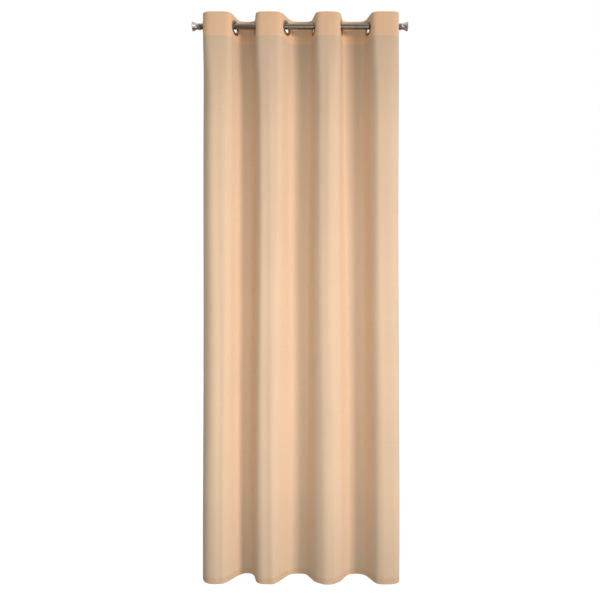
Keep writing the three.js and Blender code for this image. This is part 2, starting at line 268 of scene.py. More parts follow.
def woven_cloth():
    """Plain weave with slubby yarns. Its map is in metres: across the cloth, and height."""
    finish, tree, shader = new_finish("curtain_cloth")
    place = node(tree, "ShaderNodeUVMap", uv_map="cloth").outputs[0]
    parts = node(tree, "ShaderNodeSeparateXYZ", {0: place})
    across, height = parts.outputs[0], parts.outputs[1]

    above_head = ranged(tree, height, head_seam_z - SEAM_BLEND, head_seam_z + SEAM_BLEND, 0, 1)
    below_hem = ranged(tree, height, hem_seam_z + SEAM_BLEND, hem_seam_z - SEAM_BLEND, 0, 1)

    warp_slub = streaks(tree, place, (1100, 14, 1))
    weft_slub = streaks(tree, place, (12, 1000, 1))
    slub = maths(tree, "ADD", warp_slub, weft_slub)
    cloud = streaks(tree, place, (7, 3, 1), 2.0)
    yarns = ranged(tree, slub, 0.6, 1.4, 0.93, 1.06)
    shade = maths(tree, "ADD", yarns, ranged(tree, cloud, 0.3, 0.7, -0.02, 0.02))
    # Painted shade: the body darkens just below the heading's seam, and the whole cloth darkens
    # towards the hem.
    painted_shade_top = ranged(tree, height, head_seam_z - PAINTED_SHADE_REACH, head_seam_z - 0.02, 1.0, PAINTED_SHADE_TONE)
    painted_shade_bottom = ranged(tree, height, hem_z + PAINTED_SHADE_REACH, hem_z, 1.0, PAINTED_SHADE_TONE)
    body = mixed(tree, painted_shade_top, (0, 0, 0, 1), CLOTH_COLOUR)
    ground = mixed(tree, above_head, mixed(tree, below_hem, body, HEM_COLOUR), HEADING_COLOUR)
    shade = maths(tree, "MULTIPLY", shade, painted_shade_bottom)
    grey = node(tree, "ShaderNodeCombineColor", {0: shade, 1: shade, 2: shade}).outputs[0]
    colour = mixed(tree, 1.0, ground, grey, "MULTIPLY")
    tree.links.new(colour, shader.inputs["Base Color"])

    turn = 2 * math.pi / THREAD_PITCH
    warp = maths(tree, "SINE", maths(tree, "MULTIPLY", across, turn))
    weft = maths(tree, "SINE", maths(tree, "MULTIPLY", height, turn))
    weave = maths(tree, "MULTIPLY", warp, weft)
    relief = maths(tree, "MULTIPLY_ADD", slub, 1.4, maths(tree, "MULTIPLY", weave, 0.5))
    pucker = streaks(tree, place, (150, 18, 1), 2.0)
    near_head = maths(tree, "ABSOLUTE", maths(tree, "SUBTRACT", height, head_seam_z))
    near_hem = maths(tree, "ABSOLUTE", maths(tree, "SUBTRACT", height, hem_seam_z))
    near = maths(tree, "MINIMUM", near_head, near_hem)
    seam = ranged(tree, near, 0.0, PUCKER_REACH, 1, 0)
    drawn = maths(tree, "MULTIPLY", pucker, seam)
    groove = ranged(tree, near, 0.0, GROOVE_REACH, -1, 0)
    sewn = maths(tree, "MULTIPLY_ADD", drawn, 9.0, maths(tree, "MULTIPLY", groove, 3.0))
    bump = node(
        tree,
        "ShaderNodeBump",
        {"Height": maths(tree, "ADD", relief, sewn), "Strength": 0.35, "Distance": 0.00012},
    )
    tree.links.new(bump.outputs[0], shader.inputs["Normal"])
    tree.links.new(ranged(tree, slub, 0.6, 1.4, 0.94, 0.82), shader.inputs["Roughness"])
    shader.inputs["Specular IOR Level"].default_value = 0.25
    shader.inputs["Sheen Weight"].default_value = 0.12
    shader.inputs["Sheen Roughness"].default_value = 0.45
    shader.inputs["Sheen Tint"].default_value = (1.0, 0.90, 0.78, 1)
    return finish


def sewing_thread():
    """Twisted polyester thread, a little warmer and shinier than the cloth."""
    finish, tree, shader = new_finish("sewing_thread")
    place = node(tree, "ShaderNodeTexCoord").outputs["Object"]
    twist = streaks(tree, place, (2600, 2600, 2600), 1.0)
    dark, light = (0.66, 0.42, 0.25, 1), (0.84, 0.60, 0.40, 1)
    tree.links.new(mixed(tree, twist, dark, light), shader.inputs["Base Color"])
    tree.links.new(ranged(tree, twist, 0.3, 0.7, 0.45, 0.65), shader.inputs["Roughness"])
    bump = node(tree, "ShaderNodeBump", {"Height": twist, "Strength": 0.4, "Distance": 0.00005})
    tree.links.new(bump.outputs[0], shader.inputs["Normal"])
    return finish


def brushed_metal(name, dull, bright, rough, coordinates, lines, strength=0.12):
    """Brushed metal: fine lines with a slow change of tone, by the piece's own map or place."""
    finish, tree, shader = new_finish(name)
    if coordinates == "turned":
        place = node(tree, "ShaderNodeUVMap", uv_map="turned").outputs[0]
    else:
        place = node(tree, "ShaderNodeTexCoord").outputs["Object"]
    brush = streaks(tree, place, lines, 4.0)
    patch = streaks(tree, place, (35, 35, 35), 2.0)
    tone = maths(tree, "MULTIPLY", patch, 0.4)
    tone = maths(tree, "ADD", maths(tree, "MULTIPLY", brush, 0.6), tone)
    shine = ranged(tree, tone, 0.3, 0.7, 0, 1)
    tree.links.new(mixed(tree, shine, dull, bright), shader.inputs["Base Color"])
    tree.links.new(ranged(tree, tone, 0.3, 0.7, rough[1], rough[0]), shader.inputs["Roughness"])
    relief = {"Height": brush, "Strength": strength, "Distance": 0.00008}
    bump = node(tree, "ShaderNodeBump", relief)
    tree.links.new(bump.outputs[0], shader.inputs["Normal"])
    shader.inputs["Metallic"].default_value = 1.0
    return finish


def moulded_plastic():
    """Matt moulded plastic with a fine spark-eroded skin."""
    finish, tree, shader = new_finish("plug_plastic")
    place = node(tree, "ShaderNodeTexCoord").outputs["Object"]
    skin = streaks(tree, place, (900, 900, 900), 3.0)
    light, dark = (0.82, 0.80, 0.76, 1), (0.72, 0.70, 0.66, 1)
    tree.links.new(mixed(tree, skin, dark, light), shader.inputs["Base Color"])
    tree.links.new(ranged(tree, skin, 0.3, 0.7, 0.48, 0.66), shader.inputs["Roughness"])
    bump = node(tree, "ShaderNodeBump", {"Height": skin, "Strength": 0.2, "Distance": 0.00006})
    tree.links.new(bump.outputs[0], shader.inputs["Normal"])
    return finish


cloth_finish = woven_cloth()
thread_finish = sewing_thread()
# The rod's nickel is darker and browner than the same nickel on the finials and brackets: painted
# shade from the curtain, and a painted reflection of the cloth.
rod_painted_shade_finish = brushed_metal(
    "satin_nickel_painted_shade",
    dull=(0.215, 0.191, 0.161, 1),
    bright=(0.320, 0.289, 0.248, 1),
    rough=(0.16, 0.26),
    coordinates="turned",
    lines=(1400, 9, 1),
)
finial_finish = brushed_metal(
    "satin_nickel_finial",
    dull=(0.48, 0.465, 0.44, 1),
    bright=(0.62, 0.60, 0.57, 1),
    rough=(0.26, 0.38),
    coordinates="turned",
    lines=(1400, 9, 1),
)
bracket_finish = brushed_metal(
    "satin_nickel_flat",
    dull=(0.46, 0.444, 0.418, 1),
    bright=(0.61, 0.59, 0.56, 1),
    rough=(0.30, 0.44),
    coordinates="place",
    lines=(1200, 60, 60),
)
eyelet_finish = brushed_metal(
    "eyelet_metal",
    dull=(0.28, 0.222, 0.168, 1),
    bright=(0.42, 0.343, 0.268, 1),
    rough=(0.16, 0.28),
    coordinates="turned",
    lines=(12, 1500, 1),
    strength=0.05,
)
screw_finish = brushed_metal(
    "screw_steel",
    dull=(0.42, 0.42, 0.43, 1),
    bright=(0.62, 0.62, 0.63, 1),
    rough=(0.28, 0.45),
    coordinates="place",
    lines=(600, 600, 600),
)
plug_finish = moulded_plastic()


# ---- Mesh helpers ----


def shown(name, mesh, finish):
    """An object at the origin that holds the mesh, with one finish."""
    mesh.materials.clear()
    mesh.materials.append(finish)
    made = bpy.data.objects.new(name, mesh)
    bpy.context.scene.collection.objects.link(made)
    return made


def smooth(mesh, sharp_deg):
    """Smooth shading, with edges sharper than the angle kept crisp."""
    mesh.shade_smooth()
    mesh.set_sharp_from_angle(angle=math.radians(sharp_deg))


def applied(made):
    """The object with its modifiers applied."""
    bpy.context.view_layer.update()
    seen = made.evaluated_get(bpy.context.evaluated_depsgraph_get())
    mesh = bpy.data.meshes.new_from_object(seen)
    old = made.data
    made.modifiers.clear()
    made.data = mesh
    bpy.data.meshes.remove(old)
    return made


# ---- The cloth's plan ----
# A plan point is (x, d): d is the distance in front of the rod's axis.


def bezier(a, b, c, d, steps):
    """Points along a cubic curve, without its first one."""
    t = np.linspace(0, 1, steps + 1)[1:, None]
    return (1 - t) ** 3 * a + 3 * (1 - t) ** 2 * t * b + 3 * (1 - t) * t**2 * c + t**3 * d


def corner(point, direction, depth, run):
    """The round corner from a flank's end to the flat of a crest."""
    knee = point + direction * (depth - point[1]) / direction[1]
    flat = np.array((knee[0] + run, depth))
    first = point + (knee - point) * CORNER_PULL
    second = flat + (knee - flat) * CORNER_PULL
    return bezier(point, first, second, flat, 24)


def side_return(point, direction, inward):
    """The free side edge, which turns back past its eyelet towards the wall and curls inwards."""
    steps = 26
    start = math.atan2(direction[0], -direction[1])
    points = [point]
    for k in range(steps):
        a = start + inward * math.radians(SIDE_CURL_DEG) * (k + 0.5) / steps
        points.append(points[-1] + SIDE_RETURN / steps * np.array((math.sin(a), -math.cos(a))))
    return np.array(points)


def head_plan():
    """Plan points of the heading from the left edge to the right, and where the eyelets are."""
    flanks = []
    for i, x in enumerate(eyelet_x):
        tilt = math.radians(FLANK_TILT_DEG[i])
        forward = 1 if i % 2 == 0 else -1
        flanks.append((np.array((x, 0.0)), np.array((math.sin(tilt), forward * math.cos(tilt)))))
    centre, along = flanks[0]
    runs = [side_return(centre - along * FLAT_FLANK, -along, 1)[::-1]]
    marks = []
    for i, (centre, along) in enumerate(flanks):
        marks.append(sum(len(run) for run in runs))
        runs.append(centre[None])
        end = centre + along * FLAT_FLANK
        if i == FOLDS - 1:
            runs.append(side_return(end, along, -1))
            break
        depth = FOLD_HALF_DEPTH if i % 2 == 0 else -FOLD_HALF_DEPTH
        next_centre, next_along = flanks[i + 1]
        begin = next_centre - next_along * FLAT_FLANK
        left, right = (run / 1000 for run in CORNER_RUN[i])
        runs += [end[None], corner(end, along, depth, left)]
        runs += [corner(begin, -next_along, depth, -right)[::-1], begin[None]]
    return np.concatenate(runs), marks


def softened(values, sigma):
    """Values a millimetre apart, smoothed along the cloth. The ends run on straight."""
    reach = int(4 * sigma)
    before = 2 * values[0] - values[reach:0:-1]
    after = 2 * values[-1] - values[-2 : -reach - 2 : -1]
    window = np.exp(-0.5 * (np.arange(-reach, reach + 1) / sigma) ** 2)
    return np.convolve(np.concatenate([before, values, after]), window / window.sum(), mode="valid")


plan_points, eyelet_marks = head_plan()
plan_along = np.concatenate([[0], np.cumsum(np.linalg.norm(np.diff(plan_points, axis=0), axis=1))])
eyelet_s = plan_along[eyelet_marks]
cloth_width = plan_along[-1]
along = np.linspace(0, cloth_width, round(cloth_width * 1000) + 1)
raw_x = np.interp(along, plan_along, plan_points[:, 0])
raw_d = np.interp(along, plan_along, plan_points[:, 1])
crest_s = (eyelet_s[:-1] + eyelet_s[1:]) / 2
from_eyelet = np.abs(along[:, None] - eyelet_s[None, :]).min(axis=1)


def eased_step(t):
    """0 to 1 with a soft start and end."""
    t = np.clip(t, 0, 1)
    return t * t * (3 - 2 * t)


def crowned(depth, front, back):
    """The plan's depth, scaled so that each crest reaches its own depth."""
    wanted = np.where(np.arange(len(crest_s)) % 2 == 0, front, back)
    return depth * np.interp(along, crest_s, wanted / np.abs(np.interp(crest_s, along, depth)))


flat_there = 1 - eased_step((from_eyelet - FLAT_TO) / FLAT_FADE)
head_x, head_d = (
    flat_there * softened(raw, FLANK_SOFTENING) + (1 - flat_there) * softened(raw, HEAD_SOFTENING)
    for raw in (raw_x, raw_d)
)
head_d = crowned(head_d, HEAD_FRONT_DEPTH, HEAD_BACK_DEPTH)
body_x = softened(raw_x, BODY_SOFTENING)
body_d = crowned(softened(raw_d, BODY_SOFTENING), BODY_FRONT_DEPTH, BODY_BACK_DEPTH)

chance = np.random.default_rng(SEED)
sway_phase = chance.uniform(0, 2 * math.pi, (2, len(crest_s)))
sway_length = chance.uniform(*SWAY_LENGTHS, (2, len(crest_s)))
ripple_phase = chance.uniform(0, 6, len(RIPPLES))


def plan_at(s, z):
    """Where the cloth runs at distance s across it and height z, as x and depth."""
    relax = eased_step((RELAX_FROM - z) / RELAX_RUN)
    x = (1 - relax) * np.interp(s, along, head_x) + relax * np.interp(s, along, body_x)
    d = (1 - relax) * np.interp(s, along, head_d) + relax * np.interp(s, along, body_d)
    for j, middle in enumerate(crest_s):
        near = eased_step(1 - np.abs(s - middle) / SWAY_REACH) * relax
        x = x + near * SWAY_X * np.sin(2 * math.pi * z / sway_length[0, j] + sway_phase[0, j])
        d = d + near * SWAY_D * np.sin(2 * math.pi * z / sway_length[1, j] + sway_phase[1, j])
    fallen = eased_step((RELAX_FROM - z) / (RELAX_FROM - hem_z)) / 1000
    for i, station in enumerate(eyelet_s):
        near = eased_step((DRIFT_REACH - np.abs(s - station)) / DRIFT_FADE) * fallen
        forward = 1 if i % 2 == 0 else -1
        x = x + near * (HEM_DRIFT[i] + forward * HEM_LEAN[i] * d / FOLD_HALF_DEPTH)
    for index, way, drop, bulge, relaxed_bulge in SIDE_CORNERS:
        far = (s - eyelet_s[index]) * way
        width = HEAD_CORNER_WIDTH + (BODY_CORNER_WIDTH - HEAD_CORNER_WIDTH) * relax
        share = HEAD_CORNER_SHARE + (1 - HEAD_CORNER_SHARE) * relax
        d = d - share * drop * np.exp(-(((far - CORNER_PLACE) / width) ** 2))
        out = bulge + relaxed_bulge * relax
        rise, fade = (far - BULGE_FROM) / BULGE_RISE, (BULGE_TO - far) / BULGE_FADE
        x = x + out * eased_step(rise) * eased_step(fade)
    for station in eyelet_s[1::2]:
        d = d - relax * GROOVE_DEPTH * np.exp(-(((s - station + GROOVE_PLACE) / GROOVE_WIDTH) ** 2))
    for (height, length, drift), phase in zip(RIPPLES, ripple_phase):
        d = d + relax * height * np.sin(2 * math.pi * s / length + phase + drift * z)
    return x, d


def cloth_at(s, z, n):
    """Places on the cloth: n is the distance from its middle towards the face side."""
    step = 0.0005
    x, d = plan_at(s, z)
    x0, d0 = plan_at(s - step, z)
    x1, d1 = plan_at(s + step, z)
    length = np.hypot(x1 - x0, d1 - d0)
    x = x - n * (d1 - d0) / length
    d = d + n * (x1 - x0) / length
    return np.stack([x, rod_y - d, z], axis=-1)


# ---- The cloth's pieces ----


def sheet_rows():
    """Each row down the sheet as (n, z): turned-over heading, face, and turned-up hem."""
    bend = LAYER_STEP / 2
    top, bottom = head_z - SHEET / 2 - bend, hem_z + SHEET / 2 + bend
    back_edge = head_seam_z - TURNED_EDGE
    body_top, body_bottom = head_seam_z - FINE_ROWS, hem_z + BOTTOM_HEM + FINE_ROWS
    turn = np.radians(np.linspace(-90, 90, 7))
    runs = [
        [(-LAYER_STEP, z) for z in np.arange(back_edge, top - 0.002, COLUMN)],
        [(-bend + bend * math.sin(a), top + bend * math.cos(a)) for a in turn],
        [(0.0, z) for z in np.arange(top - COLUMN, body_top, -COLUMN)],
        [(0.0, z) for z in np.linspace(body_top, body_bottom, BODY_ROWS)],
        [(0.0, z) for z in np.arange(body_bottom - COLUMN, bottom + 0.002, -COLUMN)],
        [(-bend - bend * math.sin(a), bottom - bend * math.cos(a)) for a in turn],
        [(-LAYER_STEP, z) for z in np.arange(bottom + 0.003, hem_z + BOTTOM_HEM, COLUMN)],
    ]
    return np.array([row for run in runs for row in run])


def sheet_piece(name, s_from, s_to, rows, finish):
    """One stretch of the cloth between two distances across it, with its eyelet holes."""
    columns = max(2, round((s_to - s_from) / COLUMN)) + 1
    s, n = np.meshgrid(np.linspace(s_from, s_to, columns), rows[:, 0])
    z = np.repeat(rows[:, 1:2], columns, axis=1)
    s, z = s.copy(), z.copy()
    middle_s = (s[:-1, :-1] + s[1:, 1:]) / 2
    middle_z = (z[:-1, :-1] + z[1:, 1:]) / 2
    keep = np.ones(middle_s.shape, bool)
    for station in eyelet_s:
        keep &= np.hypot(middle_s - station, middle_z - eyelet_z) > HOLE - 0.001
        p, q = s - station, z - eyelet_z
        far = np.hypot(p, q)
        inside = (far < HOLE) & (far > 1e-6)
        s[inside] = station + p[inside] * HOLE / far[inside]
        z[inside] = eyelet_z + q[inside] * HOLE / far[inside]
    index = np.arange(s.size).reshape(s.shape)
    around = [index[:-1, :-1], index[1:, :-1], index[1:, 1:], index[:-1, 1:]]
    used, quads = np.unique(np.stack(around, axis=-1)[keep], return_inverse=True)
    quads = quads.reshape(-1, 4)
    s, z, n = s.ravel()[used], z.ravel()[used], n.ravel()[used]
    mesh = bpy.data.meshes.new(name)
    mesh.from_pydata(cloth_at(s, z, n).tolist(), [], quads.tolist())
    chart = mesh.uv_layers.new(name="cloth")
    corners = np.stack([s, z], axis=-1)[quads.ravel()]
    chart.data.foreach_set("uv", corners.astype(np.float32).ravel())
    made = shown(name, mesh, finish)
    wall = made.modifiers.new("wall", "SOLIDIFY")
    wall.thickness = SHEET
    wall.offset = 0
    applied(made)
    smooth(made.data, 50)
    return made


def stitch_tree():
    """Lays stitches along an edge chain: the modifier that every sewn line uses."""
    tree = bpy.data.node_groups.new("stitch_run", "GeometryNodeTree")
    face = tree.interface
    face.new_socket("Seam", in_out="INPUT", socket_type="NodeSocketGeometry")
    face.new_socket("Stitches", in_out="OUTPUT", socket_type="NodeSocketGeometry")
    for label in ("Stitch Length", "Stitch Gap", "Thread Radius"):
        face.new_socket(label, in_out="INPUT", socket_type="NodeSocketFloat")
    face.new_socket("Thread", in_out="INPUT", socket_type="NodeSocketMaterial")
    given = tree.nodes.new("NodeGroupInput").outputs
    end = tree.nodes.new("NodeGroupOutput")
    line = node(tree, "GeometryNodeMeshToCurve", {"Mesh": given["Seam"]}).outputs[0]
    pitch = maths(tree, "ADD", given["Stitch Length"], given["Stitch Gap"])
    steps = {"Curve": line, "Length": pitch}
    spaced = node(tree, "GeometryNodeResampleCurve", steps, mode="LENGTH")
    bead = {"Segments": 6, "Rings": 4, "Radius": given["Thread Radius"]}
    grain = node(tree, "GeometryNodeMeshUVSphere", bead)
    half = maths(tree, "DIVIDE", given["Stitch Length"], 2.0)
    stretch = maths(tree, "DIVIDE", half, given["Thread Radius"])
    size = node(tree, "ShaderNodeCombineXYZ", {"X": 1.0, "Y": 1.0, "Z": stretch})
    long = {"Geometry": grain.outputs[0], "Scale": size.outputs[0]}
    stitch = node(tree, "GeometryNodeTransform", long)
    tangent = node(tree, "GeometryNodeInputTangent").outputs[0]
    spread = {"Min": (-STITCH_STRAY,) * 3, "Max": (STITCH_STRAY,) * 3, "Seed": SEED}
    stray = node(tree, "FunctionNodeRandomValue", spread, data_type="FLOAT_VECTOR")
    lean = node(tree, "ShaderNodeVectorMath", {0: tangent, 1: stray.outputs[0]}, operation="ADD")
    heading = {"Vector": lean.outputs[0]}
    turned_to = node(tree, "FunctionNodeAlignRotationToVector", heading, axis="Z")
    each = {
        "Points": spaced.outputs[0],
        "Instance": stitch.outputs[0],
        "Rotation": turned_to.outputs[0],
    }
    laid = node(tree, "GeometryNodeInstanceOnPoints", each)
    whole = node(tree, "GeometryNodeRealizeInstances", {0: laid.outputs[0]})
    sewn = {"Geometry": whole.outputs[0], "Material": given["Thread"]}
    painted = node(tree, "GeometryNodeSetMaterial", sewn)
    tree.links.new(painted.outputs[0], end.inputs[0])
    return tree


stitch_run = stitch_tree()


def sewn_line(name, lines):
    """A mesh of stitches along each line, which is an array of places on the cloth."""
    mesh = bpy.data.meshes.new(name)
    places = np.concatenate(lines)
    edges, first = [], 0
    for line in lines:
        edges += [(first + k, first + k + 1) for k in range(len(line) - 1)]
        first += len(line)
    mesh.from_pydata(places.tolist(), edges, [])
    made = shown(name, mesh, thread_finish)
    run = made.modifiers.new("stitches", "NODES")
    run.node_group = stitch_run
    values = {
        "Stitch Length": STITCH_LENGTH,
        "Stitch Gap": STITCH_GAP,
        "Thread Radius": THREAD_RADIUS,
        "Thread": thread_finish,
    }
    for item in stitch_run.interface.items_tree:
        if item.name in values:
            run[item.identifier] = values[item.name]
    applied(made)
    smooth(made.data, 80)
    return made


def across_seam(s_from, s_to, z, n):
    """A seam across the cloth."""
    s = np.linspace(s_from, s_to, max(2, round((s_to - s_from) / 0.003)))
    return cloth_at(s, np.full(s.shape, z), np.full(s.shape, n))


def down_seam(s, z_from, z_to, n):
    """A seam down the cloth."""
    z = np.linspace(z_from, z_to, 400)
    return cloth_at(np.full(z.shape, s), z, np.full(z.shape, n))


front_thread = SHEET / 2 + THREAD_RADIUS * THREAD_PROUD
back_thread = -LAYER_STEP - SHEET / 2 - THREAD_RADIUS * THREAD_PROUD


def sewn_seams(s_from, s_to):
    """The heading's seam and the hem's, on the face and on the back."""
    return [
        across_seam(s_from, s_to, z, n)
        for z in (head_seam_z, hem_seam_z)
        for n in (front_thread, back_thread)
    ]


rows = sheet_rows()


def bridge_folds(i):
    """The cloth from one eyelet to the next, between the two folds it joins."""
    s_from, s_to = eyelet_s[i], eyelet_s[i + 1]
    number = i + 1
    piece = sheet_piece(f"curtain_fold_{number}", s_from, s_to, rows, cloth_finish)
    sewn = sewn_line(f"seams_fold_{number}", sewn_seams(s_from, s_to))
    for part in (piece, sewn):
        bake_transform(part)
    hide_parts(f"curtain_panel_{number}", f"heading_tape_{number}")


def side_edge(side, number, s_from, s_to):
    """The cloth from the last eyelet to the free side edge, with its side hem."""
    free = s_from if number == 1 else s_to
    inward = 1 if number == 1 else -1
    piece = sheet_piece(f"curtain_side_{side}", s_from, s_to, rows, cloth_finish)
    heights = np.linspace(head_seam_z - 0.005, hem_z + BOTTOM_HEM + 0.001, BODY_ROWS)
    hem_rows = np.array([(-LAYER_STEP / 2 - SIDE_HEM_GAP, z) for z in heights])
    strip = sorted((free + inward * SIDE_HEM_INSET, free + inward * SIDE_HEM))
    hem = sheet_piece(f"side_hem_{side}", *strip, hem_rows, cloth_finish)
    seam_s = free + inward * SIDE_SEAM
    seams = sewn_seams(s_from, s_to)
    for n in (front_thread, back_thread + LAYER_STEP / 2 - SIDE_HEM_GAP):
        seams.append(down_seam(seam_s, head_seam_z - 0.002, hem_z + BOTTOM_HEM, n))
    sewn = sewn_line(f"seams_side_{side}", seams)
    for part in (piece, hem, sewn):
        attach(part, f"fold_{number}")
    return piece, sewn, hem


for crest in range(FOLDS - 1):
    bridge_folds(crest)

left_piece, left_sewn, left_hem = side_edge("left", 1, 0.0, eyelet_s[0])
right_piece, right_sewn, right_hem = side_edge("right", FOLDS, eyelet_s[-1], cloth_width)
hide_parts(f"curtain_panel_{FOLDS}", f"heading_tape_{FOLDS}")


# ---- Turned metal ----


def turned(name, profile, centre, direction, finish, sharp_deg=40):
    """A closed profile of (radius, place along the axis), turned about a line through centre."""
    profile = np.array(profile)
    count = len(profile)
    angle = np.linspace(0, 2 * math.pi, ROUND, endpoint=False)
    axis = Vector(direction).normalized()
    side = axis.orthogonal().normalized()
    other = axis.cross(side)
    ring = np.cos(angle)[:, None] * np.array(side) + np.sin(angle)[:, None] * np.array(other)
    places = (
        np.array(centre)
        + profile[None, :, 0, None] * ring[:, None, :]
        + profile[None, :, 1, None] * np.array(axis)
    ).reshape(-1, 3)
    lengths = np.linalg.norm(np.diff(profile, axis=0, append=profile[:1]), axis=1)
    down = np.concatenate([[0], np.cumsum(lengths)])
    widest = profile[:, 0].max()
    faces, chart = [], []
    for a in range(ROUND):
        b = (a + 1) % ROUND
        for k in range(count):
            m = (k + 1) % count
            faces.append((a * count + k, b * count + k, b * count + m, a * count + m))
            u0, u1 = (2 * math.pi * widest * t / ROUND for t in (a, a + 1))
            chart += [(u0, down[k]), (u1, down[k]), (u1, down[k + 1]), (u0, down[k + 1])]
    mesh = bpy.data.meshes.new(name)
    mesh.from_pydata(places.tolist(), [], faces)
    layer = mesh.uv_layers.new(name="turned")
    layer.data.foreach_set("uv", np.array(chart, np.float32).ravel())
    work = bmesh.new()
    work.from_mesh(mesh)
    bmesh.ops.remove_doubles(work, verts=work.verts, dist=1e-7)
    bmesh.ops.recalc_face_normals(work, faces=work.faces)
    work.to_mesh(mesh)
    work.free()
    smooth(mesh, sharp_deg)
    return shown(name, mesh, finish)


def fillet(centre, radii, from_deg, to_deg, steps=6):
    """A round corner of a profile, as points on an ellipse."""
    angles = np.radians(np.linspace(from_deg, to_deg, steps + 1))
    across, along = centre
    return [(across + radii[0] * math.cos(a), along + radii[1] * math.sin(a)) for a in angles]


def eyelet_profile():
    """The front ring with its barrel, which is splayed at both ends."""
    tail = -EYELET_BACK
    edge = FLANGE_EDGE
    lip = 0.0003
    shares = np.linspace(0, 1, 5)
    return [
        *(
            (EYELET_BORE + BACK_SPLAY * share, tail + SPLAY_LENGTH * (1 - share))
            for share in shares
        ),
        *fillet((EYELET_BARREL - lip, tail + lip), (lip, lip), -60, 0, 3),
        (EYELET_BARREL, edge - 0.0002),
        (EYELET_RIM - 0.001, edge - 0.0002),
        *fillet((EYELET_RIM - 0.0006, edge + 0.0005), (0.0006, 0.0007), -90, 60),
        *fillet((EYELET_RIM - 0.009, 0.0009), (0.0087, EYELET_CROWN - 0.0009), 20, 90, 8),
        *(
            (EYELET_BORE + FRONT_SPLAY * (1 - share), EYELET_CROWN - SPLAY_LENGTH * share)
            for share in shares
        ),
    ]


def washer_profile():
    """The back ring, which the barrel's rolled end holds."""
    inner = EYELET_BARREL + 0.0003
    seat = -LAYER_STEP - SHEET / 2 - 0.0002
    face = -EYELET_BACK
    return [
        (inner, seat),
        (EYELET_RIM - 0.0008, seat),
        *fillet((EYELET_RIM - 0.0009, seat - 0.0006), (0.0009, 0.0006), 90, -60),
        *fillet((EYELET_RIM - 0.008, seat - 0.0006), (0.0076, -face + seat - 0.0006), -20, -90, 8),
        *fillet((inner + 0.0012, face + 0.0008), (0.0012, 0.0008), -90, -180, 4),
    ]


for i, x in enumerate(eyelet_x):
    number = i + 1
    tilt = math.radians(FLANK_TILT_DEG[i])
    forward = 1 if i % 2 == 0 else -1
    facing = (-forward * math.cos(tilt), -math.sin(tilt), 0)
    centre = (x, rod_y, eyelet_z)
    ring = turned(f"eyelet_ring_{number}", eyelet_profile(), centre, facing, eyelet_finish, 60)
    washer = turned(f"eyelet_washer_{number}", washer_profile(), centre, facing, eyelet_finish)
    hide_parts(f"eyelet_front_{number}")
    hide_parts(f"eyelet_back_{number}")
    for part in (ring, washer):
        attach(part, f"fold_{number}")


def tube_profile(half):
    """The rod's wall, with its ends broken."""
    inner, ease = rod_radius - ROD_WALL, 0.0002
    return [
        (inner, -half + ease),
        (inner + ease, -half),
        (rod_radius - ease, -half),
        (rod_radius, -half + ease),
        (rod_radius, half - ease),
        (rod_radius - ease, half),
        (inner + ease, half),
        (inner, half - ease),
    ]


rod = turned("curtain_rod", tube_profile(rod_high.x), (0, rod_y, 0), (1, 0, 0), rod_painted_shade_finish)
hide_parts("rod_tube")
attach(rod, "rod")


def trumpet_profile():
    """The finial's body: a collar, a neck that draws in a little, and the flare out to the rim."""
    neck, rim = COLLAR_LENGTH + RIM_EDGE, FINIAL_LENGTH - CAP_SEAT - RIM_EDGE
    run = rim - neck
    collar = rod_radius + COLLAR_LIP
    corners = [
        (rod_radius, neck),
        (rod_radius - FLARE_DIP, neck + run * FLARE_HANDLES[0]),
        (rod_radius + FLARE_RISE, neck + run * FLARE_HANDLES[1]),
        (FINIAL_RIM, rim),
    ]
    flare = bezier(*(np.array(place) for place in corners), 28)
    inner, floor_at = FINIAL_RIM - RIM_WALL, FINIAL_LENGTH - CAP_SEAT - CAP_RECESS
    rim_end = rim + RIM_LAND
    return [
        (STUD, 0),
        *fillet((collar - 0.0004, 0.0004), (0.0004, 0.0004), -90, 0, 3),
        *fillet((collar - 0.0004, COLLAR_LENGTH), (0.0004, 0.0004), 0, 90, 3),
        corners[0],
        *(tuple(place) for place in flare),
        *fillet((FINIAL_RIM - 0.0006, rim_end - 0.0006), (0.0006, 0.0006), 0, 90, 4),
        *fillet((inner + 0.0004, rim_end - 0.0004), (0.0004, 0.0004), 90, 180, 3),
        (inner, floor_at),
        (STUD, floor_at),
    ]


def dome_profile():
    """The finial's cap, domed outwards. It closes on the axis."""
    rim = FINIAL_RIM - RIM_WALL - FINIAL_GAP
    seat = FINIAL_LENGTH - CAP_SEAT - CAP_RECESS + FINIAL_GAP
    face = FINIAL_LENGTH - CAP_SEAT + RIM_EDGE
    edge = fillet((rim - 0.0005, face - 0.0005), (0.0005, 0.0005), 0, 60, 3)
    shares = np.linspace(0.06, 1, 14)
    rise = FINIAL_LENGTH - face
    dome = [(rim * (1 - share), face + rise * math.sin(share * math.pi / 2)) for share in shares]
    return [(0, seat), (rim, seat), *edge, *dome]


for hand, side in (("left", -1), ("right", 1)):
    place, out = (side * (rod_high.x + FINIAL_GAP), rod_y, 0), (side, 0, 0)
    trumpet = turned(f"finial_trumpet_{hand}", trumpet_profile(), place, out, finial_finish)
    dome = turned(f"finial_dome_{hand}", dome_profile(), place, out, finial_finish)
    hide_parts(f"finial_body_{hand}")
    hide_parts(f"finial_cap_{hand}")
    for part in (trumpet, dome):
        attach(part, f"finial_{hand}")


# ---- Brackets, plugs and screws ----


